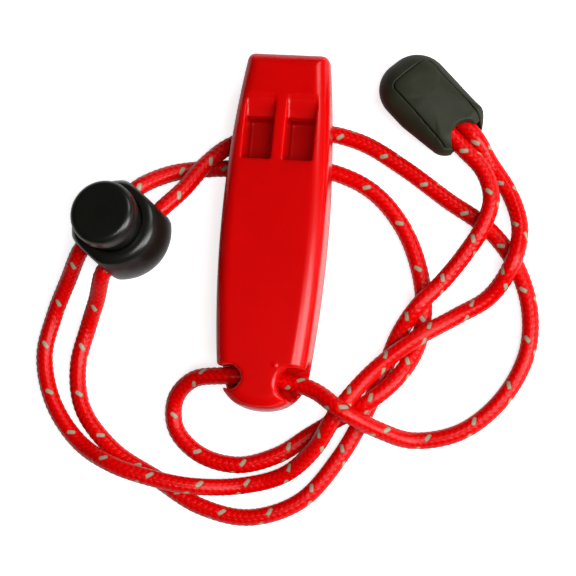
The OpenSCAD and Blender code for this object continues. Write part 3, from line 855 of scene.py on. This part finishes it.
def polished_abs():
    """ABS from a polished tool: a clean shine with a slight waver, and red that glows in the shade."""
    material, tree = new_material("polished_abs")
    where = add(tree, "ShaderNodeTexCoord").outputs["Object"]
    waver = add(tree, "ShaderNodeTexNoise", {"Vector": where, "Scale": 1 / ABS_WAVER, "Detail": 1.0})
    marks = add(tree, "ShaderNodeTexNoise", {"Vector": where, "Scale": 1 / ABS_POLISH, "Detail": 2.0})
    height = add(
        tree, "ShaderNodeMath", {0: marks.outputs[0], 1: 0.03, 2: waver.outputs[0]}, operation="MULTIPLY_ADD"
    )
    bump = add(tree, "ShaderNodeBump", {"Strength": 0.6, "Distance": 0.06 * MM, "Height": height.outputs[0]})
    shade = add(tree, "ShaderNodeValToRGB", {0: waver.outputs[0]})
    shade.color_ramp.elements[0].color = linear("#cb0101")
    shade.color_ramp.elements[1].color = linear("#d60202")
    rough = add(tree, "ShaderNodeMapRange", {0: marks.outputs[0], 3: 0.2, 4: 0.26})
    surface = add(tree, "ShaderNodeBsdfPrincipled", {
        "Base Color": shade.outputs[0], "Roughness": rough.outputs[0], "IOR": 1.5,
        "Specular IOR Level": 0.3, "Normal": bump.outputs[0], "Subsurface Weight": 0.75,
        "Subsurface Radius": (1.0, 0.04, 0.03), "Subsurface Scale": 4.0 * MM,
    })
    add(tree, "ShaderNodeOutputMaterial", {0: surface.outputs[0]})
    return material


red_abs = polished_abs()
print(red_abs.name, "has", len(red_abs.node_tree.nodes), "nodes")

# %% The two shells of the whistle
SHELL_STEP = 0.26  # side of the small cubes, in millimetres
shell_low = (-WIDTH / 2 - 1, -MOUTH_Y - 1, -1)
shell_high = (WIDTH / 2 + 1, MOUTH_Y + 1, THICKNESS + 1.5)
front = skin("whistle_front", front_half, shell_low, shell_high, SHELL_STEP, Matrix(), red_abs)
back = skin("whistle_back", back_half, shell_low, shell_high, SHELL_STEP, Matrix(), red_abs)
settle(front, "whistle", "whistle_plastic", "front_shell")
settle(back, "whistle", "whistle_plastic", "back_cover")

# %% [markdown]
# ## The cord lock
#
# A ball with two holes for the cord and a bore for the button. The button is one turning:
# a flat round head with a soft edge on a thick stem, and two slots in the stem that the
# cord passes through. Pressed, the slots line up with the holes and the cord runs free.
# Balls, bores and slots are each one short sum, so both pieces are fields as well.

# %% Cord lock, in its own frame: the holes along x, the button along z
CORD_R, LIFT_Z, GAP_Y = CORD_D / MM / 2, CORD_LIFT / MM, HOLE_GAP / MM / 2
PRESS = round(JOINTS["button_press"]["range_m"][1] / MM, 3)
BALL_R, FLATS_W, BALL_TOP = 9.3, 15.2, 5.5  # the ball is cut flat at the holes and around the button
HOLE_PLAY, RIM_R, FLAT_EDGE, HOLE_EDGE = 0.4, 0.8, 0.6, 0.3
HEAD_R, HEAD_H, HEAD_EDGE, HEAD_GAP = 6.15, 3.5, 1.4, 0.1  # the gap is left when it is pressed
STEM_R, STEM_PLAY, STEM_EDGE, STEM_IN_HEAD = 5.6, 0.1, 0.3, 1.0  # the stem is buried in the head
SLOT_PLAY, SLOT_SIDE_PLAY, SLOT_EDGE, SILL = 0.1, 0.2, 0.25, 1.6  # the sill is what closes the slots
SLOT_LOW, SLOT_HIGH = LIFT_Z - CORD_R - SLOT_PLAY, LIFT_Z + CORD_R + PRESS + SLOT_PLAY
STEM_LOW, HEAD_LOW = SLOT_LOW - SILL, BALL_TOP + PRESS + HEAD_GAP
BORE_SPARE, SEAT_IN_BALL, SEAT_IN_STEM = 0.45, 1.9, 0.75  # the spring is let in at both ends
BORE_LOW = STEM_LOW - PRESS - BORE_SPARE
SPRING_R, WIRE_R, SPRING_PLAY = 2.1, 0.2, 0.2  # outside of the coil, wire, and room around it
SPRING_LOW, SPRING_TOP = BORE_LOW - SEAT_IN_BALL, STEM_LOW + SEAT_IN_STEM


def lock_barrel(x, y, z):
    around = np.hypot(x, y)
    ball = meet(RIM_R, np.sqrt(around**2 + z**2) - BALL_R, z - BALL_TOP)
    ball = meet(FLAT_EDGE, ball, np.abs(x) - FLATS_W / 2)
    button_bore = np.maximum(around - STEM_R - STEM_PLAY, BORE_LOW - z)
    spring_bore = np.maximum(around - SPRING_R - SPRING_PLAY, SPRING_LOW - z)
    holes = np.hypot(np.abs(y) - GAP_Y, z) - CORD_R - HOLE_PLAY
    return cut(HOLE_EDGE, ball, np.minimum(button_bore, spring_bore), holes)


def lock_button(x, y, z):
    around = np.hypot(x, y)
    head = meet(HEAD_EDGE, around - HEAD_R, z - HEAD_LOW - HEAD_H)
    head = meet(STEM_EDGE, head, HEAD_LOW - z)
    stem = meet(STEM_EDGE, around - STEM_R, STEM_LOW - z, z - HEAD_LOW - STEM_IN_HEAD)
    slot_side = np.abs(np.abs(y) - GAP_Y) - CORD_R - SLOT_SIDE_PLAY
    slots = reduce(np.maximum, [slot_side, SLOT_LOW - z, z - SLOT_HIGH])
    seat = np.maximum(around - SPRING_R - SPRING_PLAY, z - SPRING_TOP)
    return cut(SLOT_EDGE, np.minimum(head, stem), slots, seat)


print(f"button: {2 * HEAD_R:.1f} mm head, pressed by {PRESS:.0f} mm; bore down to z {BORE_LOW:.2f} mm")

# %% [markdown]
# ## Satin acetal
#
# Cord locks are moulded in acetal, a slippery plastic that looks a little waxy. The mould
# is spark-eroded to a fine grain, which turns each highlight into a soft one. Fingers
# polish it unevenly, so the roughness varies slowly over the piece.

# %% Material: satin acetal
ACETAL_GRAIN = 0.286 * MM  # pits of the eroded mould, drawn a few times coarser than they are
ACETAL_CLOUD = 6.25 * MM  # from one handled spot to the next


def satin_acetal():
    """Moulded acetal: near black, with a waxy satin shine that is a little uneven."""
    material, tree = new_material("satin_acetal")
    where = add(tree, "ShaderNodeTexCoord").outputs["Object"]
    grain = add(tree, "ShaderNodeTexNoise", {"Vector": where, "Scale": 1 / ACETAL_GRAIN, "Detail": 2.0})
    cloud = add(tree, "ShaderNodeTexNoise", {"Vector": where, "Scale": 1 / ACETAL_CLOUD, "Detail": 3.0})
    bump = add(tree, "ShaderNodeBump", {"Strength": 0.25, "Distance": 0.04 * MM, "Height": grain.outputs[0]})
    shade = add(tree, "ShaderNodeValToRGB", {0: cloud.outputs[0]})
    shade.color_ramp.elements[0].color = linear("#0d0d0a")
    shade.color_ramp.elements[1].color = linear("#151511")
    rough = add(tree, "ShaderNodeMapRange", {0: cloud.outputs[0], 3: 0.24, 4: 0.33})
    surface = add(tree, "ShaderNodeBsdfPrincipled", {
        "Base Color": shade.outputs[0], "Roughness": rough.outputs[0], "IOR": 1.48, "Normal": bump.outputs[0],
    })
    add(tree, "ShaderNodeOutputMaterial", {0: surface.outputs[0]})
    return material


black_acetal = satin_acetal()
print(black_acetal.name, "has", len(black_acetal.node_tree.nodes), "nodes")

# %% The ball and the button
LOCK_STEP = 0.25  # side of the small cubes, in millimetres
button_low, button_high = (-7, -7, STEM_LOW - 1), (7, 7, HEAD_LOW + HEAD_H + 1)
barrel = skin("lock_ball", lock_barrel, (-10, -10, -10), (10, 10, 7), LOCK_STEP, AT_LOCK, black_acetal)
button = skin("lock_push_button", lock_button, button_low, button_high, LOCK_STEP, AT_LOCK, black_acetal)
settle(barrel, "lanyard", "lock_plastic", "lock_barrel")
settle(button, "button", "lock_plastic", "lock_button")

# %% [markdown]
# ## The spring
#
# A coil of bright wire stands under the button. It is a helix by rule, so Geometry Nodes
# make it: a spiral curve swept with a small ring.

# %% Geometry nodes: the coil spring
def spring_tree():
    tree = bpy.data.node_groups.new("coil spring", "GeometryNodeTree")
    face = tree.interface
    face.new_socket("Geometry", in_out="INPUT", socket_type="NodeSocketGeometry")
    for name in ("Coil radius", "Wire radius", "Height", "Turns"):
        face.new_socket(name, in_out="INPUT", socket_type="NodeSocketFloat")
    face.new_socket("Material", in_out="INPUT", socket_type="NodeSocketMaterial")
    face.new_socket("Geometry", in_out="OUTPUT", socket_type="NodeSocketGeometry")
    given = add(tree, "NodeGroupInput").outputs
    coil = add(tree, "GeometryNodeCurveSpiral", {
        "Resolution": 40, "Rotations": given["Turns"], "Start Radius": given["Coil radius"],
        "End Radius": given["Coil radius"], "Height": given["Height"],
    })
    wire = add(tree, "GeometryNodeCurvePrimitiveCircle", {"Resolution": 12, "Radius": given["Wire radius"]})
    swept = add(tree, "GeometryNodeCurveToMesh", {
        "Curve": coil.outputs[0], "Profile Curve": wire.outputs[0], "Fill Caps": True
    })
    real = add(tree, "GeometryNodeRealizeInstances", {0: swept.outputs[0]})
    dressed_wire = add(tree, "GeometryNodeSetMaterial", {
        "Geometry": real.outputs[0], "Material": given["Material"]
    })
    add(tree, "NodeGroupOutput", {0: dressed_wire.outputs[0]})
    return tree


coil_tree = spring_tree()
print(coil_tree.name, "has", len(coil_tree.nodes), "nodes")

# %% [markdown]
# ## Drawn spring wire
#
# Stainless wire is pulled through a die, which leaves fine lines along it between bright
# strips. The metal keeps its default IOR, and only its roughness changes from line to line.

# %% Material: drawn spring wire
WIRE_LINES = 0.167 * MM  # from one die line to the next


def drawn_spring_wire():
    """Drawn stainless wire: bright, with a shine that breaks up into lines."""
    material, tree = new_material("drawn_spring_wire")
    where = add(tree, "ShaderNodeTexCoord").outputs["Object"]
    lines = add(tree, "ShaderNodeTexNoise", {"Vector": where, "Scale": 1 / WIRE_LINES, "Detail": 1.0})
    rough = add(tree, "ShaderNodeMapRange", {0: lines.outputs[0], 3: 0.22, 4: 0.4})
    surface = add(tree, "ShaderNodeBsdfPrincipled", {
        "Base Color": linear("#c9cbcc"), "Metallic": 1.0, "Roughness": rough.outputs[0],
    })
    add(tree, "ShaderNodeOutputMaterial", {0: surface.outputs[0]})
    return material


spring_steel = drawn_spring_wire()
print(spring_steel.name, "has", len(spring_steel.node_tree.nodes), "nodes")

# %% The spring under the button
COILS = 5.0
spring_l = SPRING_TOP - SPRING_LOW
spring = grown("lock_coil_spring", bpy.data.meshes.new("spring_base"), coil_tree, {
    "Coil radius": (SPRING_R - WIRE_R) * MM, "Wire radius": WIRE_R * MM,
    "Height": (spring_l - 2 * WIRE_R) * MM, "Turns": COILS, "Material": spring_steel,
})
spring.data.transform(AT_LOCK @ Matrix.Translation((0, 0, (SPRING_LOW + WIRE_R) * MM)))
settle(spring, "lanyard", "spring_steel", "lock_spring")
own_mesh(spring)
print(f"spring: {spring_l:.2f} mm long, {spring_l - PRESS:.2f} mm when the button is pressed")

# %% [markdown]
# ## The cord end
#
# A smooth pebble in two pieces. The body holds both tips of the cord in a pocket, and a
# tongue-shaped lid lies flush in it, with an arch over the cords at the mouth. Seen from
# the front its outline is a band around a few rounds: in each direction the furthest of
# them counts, which gives the reach of the outline and how far it leans from the radius.

# %% Outline of the cord end, in its own frame: x out of the mouth
HEEL_R = 5.9
ROUNDS = np.array([  # x, y and radius of each round
    (-4.7, -0.95, HEEL_R), (-4.7, 0.95, HEEL_R), (-1.0, -0.95, HEEL_R), (-1.0, 0.95, HEEL_R),
    (6.3, -2.3, 3.4), (6.4, 4.7, 1.9), (8.7, 4.2, 1.0),
])
LEAST_FACING = 0.05  # a side that is met more flatly than this is never the nearest
turns = np.radians(np.arange(-180, 181))
across_x, across_y = np.outer(np.cos(turns), ROUNDS[:, 0]), np.outer(np.sin(turns), ROUNDS[:, 1])
support = (across_x + across_y + ROUNDS[:, 2]).max(1)
facing = np.cos(turns[:, None] - turns[None, :])
reaches = np.where(facing > LEAST_FACING, support / np.maximum(facing, LEAST_FACING), np.inf)
REACH, LEAN = reaches.min(1), facing[np.arange(len(turns)), reaches.argmin(1)]
print(f"cord end: {REACH[0] + REACH[180]:.1f} mm long, {REACH[90] + REACH[270]:.1f} mm wide in the middle")

# %% [markdown]
# ## Body and lid
#
# The body is the pebble with a pocket for the cords, a notch for the lid and two pin
# holes. The lid is the same pebble cut to its own tongue, so both stay flush, and its
# round heel turns about the pins without touching the notch.

# %% Body and lid of the cord end
HALF_H, MOUTH_DROP = 4.5, 0.9  # the pebble gets thinner towards the mouth
WAIST_X, FAR_X, FAR_R, WALL_R = -1.0, 6.3, 3.4, 1.9  # and its edge sharper, most on one side
WALL_FROM_Y, WALL_OVER = -2.0, 6.0
NIB_WAY, NIB_OUT, NIB_EDGE = np.array([0.884, 0.148, 0.444]), 8.7, 0.8  # a slant cut across the mouth
POCKET_W, POCKET_H, POCKET_BACK_X = 7.6, 3.5, -4.0  # room for the two tips side by side
POCKET_MID_Y, POCKET_MID_Z = POCKET_Y / MM, POCKET_Z / MM
LID_W, LID_GAP, LID_CORNER_R = 8.8, 0.12, 1.3
LID_REAR_R, LID_REAR_X, HEEL_SWING = 1.9, 2.2, 3.0  # the heel behind the pins, and what it sweeps
LID_UNDER_Z = POCKET_MID_Z + POCKET_H / 2
pin_place = AT_END.inverted() @ Vector(JOINTS["lid_hinge"]["pos_m"])
PIN_X, PIN_Z = round(pin_place.x / MM, 1), round(pin_place.z / MM, 1)
PIN_R, PIN_L, PIN_PLAY = 0.8, 0.4, 0.05  # each pin stands out 0.4 mm from the lid's side
ARCH_R, ARCH_X, ARCH_EDGE, END_EDGE = 3.4, MOUTH_X / MM + 0.1, 0.25, 0.12


def end_outside(x, y, z):
    turn = np.arctan2(y, x)
    plan = (np.hypot(x, y) - np.interp(turn, turns, REACH)) * np.interp(turn, turns, LEAN)
    ahead = np.clip((x - WAIST_X) / (FAR_X - WAIST_X), 0, 1)
    sharper = np.clip((y - WALL_FROM_Y) / WALL_OVER, 0, 1)
    edge_r = HEEL_R + ahead * (FAR_R + (WALL_R - FAR_R) * sharper - HEEL_R)
    dome = np.hypot(np.maximum(1 + plan / edge_r, 0), z / (HALF_H - MOUTH_DROP * ahead))
    nib = NIB_WAY[0] * x + NIB_WAY[1] * y + NIB_WAY[2] * z - NIB_OUT
    return meet(NIB_EDGE, (dome - 1) * np.minimum(edge_r, HALF_H), nib)


def lid_block(x, y, z, gap, heel_z):
    """The lid's block, or its notch with a gap: a tongue ahead of the pins, and a round heel behind them."""
    plan = meet(LID_CORNER_R, np.abs(y) - LID_W / 2 - gap, PIN_X - LID_REAR_X - gap - x)
    around = np.hypot(x - PIN_X, z - PIN_Z)
    tongue = np.maximum(PIN_X - x, LID_UNDER_Z - gap - z)
    heel = reduce(np.maximum, [around - HEEL_SWING - gap, x - PIN_X, heel_z - z])
    return np.maximum(plan, reduce(np.minimum, [tongue, heel, around - LID_REAR_R - gap]))


def pin_pair(x, y, z, radius, half_l):
    """The two hinge pins, or their holes: one rod across the lid, buried in it between its ends."""
    return np.maximum(np.hypot(x - PIN_X, z - PIN_Z) - radius, np.abs(y) - half_l)


def cord_end_body(x, y, z):
    pocket = reduce(np.maximum, [
        POCKET_BACK_X - x, np.abs(y - POCKET_MID_Y) - POCKET_W / 2, np.abs(z - POCKET_MID_Z) - POCKET_H / 2
    ])
    pin_holes = pin_pair(x, y, z, PIN_R + PIN_PLAY, LID_W / 2 + LID_GAP + PIN_L)
    return cut(END_EDGE, end_outside(x, y, z), lid_block(x, y, z, LID_GAP, -HALF_H), pocket, pin_holes)


def cord_end_lid(x, y, z):
    arch = np.hypot(x - ARCH_X, y) - ARCH_R
    tongue = meet(END_EDGE, end_outside(x, y, z), lid_block(x, y, z, 0, PIN_Z))
    return np.minimum(cut(ARCH_EDGE, tongue, arch), pin_pair(x, y, z, PIN_R, LID_W / 2 + PIN_L))


print(f"lid: {LID_W} mm wide, on pins at x {PIN_X} z {PIN_Z} mm")

# %% [markdown]
# ## Matt nylon
#
# The cord end is moulded in glass-filled nylon. The short fibres break its skin, so it
# never shines like the lock beside it: the highlight is broad and weak, and the olive
# grey is cloudy.

# %% Material: matt nylon
NYLON_GRAIN = 0.385 * MM  # fibre ends in the skin, drawn a few times coarser than they are
NYLON_CLOUD = 4.55 * MM  # from one paler, rubbed spot to the next


def matt_nylon():
    """Glass-filled nylon from a grained tool: matt, dark olive grey, paler where it is rubbed."""
    material, tree = new_material("matt_nylon")
    where = add(tree, "ShaderNodeTexCoord").outputs["Object"]
    grain = add(tree, "ShaderNodeTexNoise", {"Vector": where, "Scale": 1 / NYLON_GRAIN, "Detail": 3.0})
    cloud = add(tree, "ShaderNodeTexNoise", {"Vector": where, "Scale": 1 / NYLON_CLOUD, "Detail": 4.0})
    bump = add(tree, "ShaderNodeBump", {"Strength": 0.5, "Distance": 0.05 * MM, "Height": grain.outputs[0]})
    shade = add(tree, "ShaderNodeValToRGB", {0: cloud.outputs[0]})
    shade.color_ramp.elements[0].color = linear("#191b10")
    shade.color_ramp.elements[1].color = linear("#2f3222")
    rough = add(tree, "ShaderNodeMapRange", {0: cloud.outputs[0], 3: 0.5, 4: 0.62})
    surface = add(tree, "ShaderNodeBsdfPrincipled", {
        "Base Color": shade.outputs[0], "Roughness": rough.outputs[0], "IOR": 1.5,
        "Specular IOR Level": 0.25, "Normal": bump.outputs[0],
    })
    add(tree, "ShaderNodeOutputMaterial", {0: surface.outputs[0]})
    return material


olive_nylon = matt_nylon()
print(olive_nylon.name, "has", len(olive_nylon.node_tree.nodes), "nodes")

# %% The cord end's two pieces
END_STEP = 0.22  # side of the small cubes, in millimetres
end_low, end_high = (-12, -9, -6), (11, 9, 6)
end_body = skin("end_body", cord_end_body, end_low, end_high, END_STEP, AT_END, olive_nylon)
end_lid = skin("end_lid", cord_end_lid, end_low, end_high, END_STEP, AT_END, olive_nylon)
settle(end_body, "lanyard", "end_plastic", "cord_end_body")
settle(end_lid, "end_lid", "end_plastic", "cord_end_lid")

# %% [markdown]
# ## What the cord is
#
# A program that handles the part must know that this tube is a limp cord. This cell only
# prints the cord's real length.

# %% The cord's length
print(f"declared: a limp cord of {cord_length:.3f} m")

# %% [markdown]
# ## Floor
#
# The object lies on a pale floor. A floor bright enough to look white would wash out its
# own shadows, so it glows only for the camera and for see-through rays, and a little
# for mirrors. Everything else sees the plain pale floor, which keeps the shadow.

# %% Floor
FLOOR_HALF, FLOOR_Z = 2.0, -0.0001  # a hair below the flat of the whistle's back


def pale_floor():
    """Matt white board: no shine of its own."""
    material, tree = new_material("pale_floor")
    ray = add(tree, "ShaderNodeLightPath").outputs
    glow = work_out(tree, """
        clear    = MAXIMUM      camera see_through
        mirrored = MULTIPLY     glossy 0.1
        glow     = MULTIPLY_ADD clear 0.74 mirrored
    """, camera=ray["Is Camera Ray"], see_through=ray["Is Transmission Ray"], glossy=ray["Is Glossy Ray"])
    surface = add(tree, "ShaderNodeBsdfPrincipled", {
        "Base Color": linear("#e9e9e9"), "Roughness": 0.9, "Specular IOR Level": 0.0,
        "Emission Color": (1, 1, 1, 1), "Emission Strength": glow["glow"],
    })
    add(tree, "ShaderNodeOutputMaterial", {0: surface.outputs[0]})
    return material


corners = [(x * FLOOR_HALF, y * FLOOR_HALF, FLOOR_Z) for x, y in ((-1, -1), (1, -1), (1, 1), (-1, 1))]
floor_mesh = bpy.data.meshes.new("floor")
floor_mesh.from_pydata(corners, [], [(0, 1, 2, 3)])
floor_mesh.materials.append(pale_floor())
floor = bpy.data.objects.new("floor", floor_mesh)
scene.collection.objects.link(floor)
print(f"floor: {2 * FLOOR_HALF:.0f} m wide")

# %% [markdown]
# ## Light
#
# One large soft lamp stands low on the right and draws the long streak down the whistle's
# edge. A weaker one beyond the mouth end and one high up keep the dark pieces readable,
# and a faint sky fills what is left in shadow.

# %% Lamps and sky
def lamp(name, azimuth, elevation, distance, size, power):
    """A soft lamp that looks at the whistle, in degrees. Azimuth 0 is its right, 90 past its mouth."""
    azimuth, elevation = math.radians(azimuth), math.radians(elevation)
    data = bpy.data.lights.new(name, "AREA")
    data.shape = "RECTANGLE"
    data.size, data.size_y = size
    data.energy = power
    light = bpy.data.objects.new(name, data)
    way = Vector((
        math.cos(elevation) * math.cos(azimuth), math.cos(elevation) * math.sin(azimuth), math.sin(elevation)
    ))
    light.location = way * distance
    light.rotation_euler = way.to_track_quat("Z", "Y").to_euler()
    scene.collection.objects.link(light)
    print(f"{name}: {power} W, {distance} m away")


lamp("key", -12, 38, 0.6, (0.3, 0.45), 3.9)
lamp("fill", 50, 42, 0.7, (0.25, 0.25), 1.0)
lamp("top", -31, 70, 0.8, (0.25, 0.25), 2.1)
world = bpy.data.worlds.new("sky")
world.use_nodes = True
world.node_tree.nodes.clear()
sky = add(world.node_tree, "ShaderNodeBackground", {0: linear("#ffffff"), 1: 0.03})
add(world.node_tree, "ShaderNodeOutputWorld", {0: sky.outputs[0]})
scene.world = world
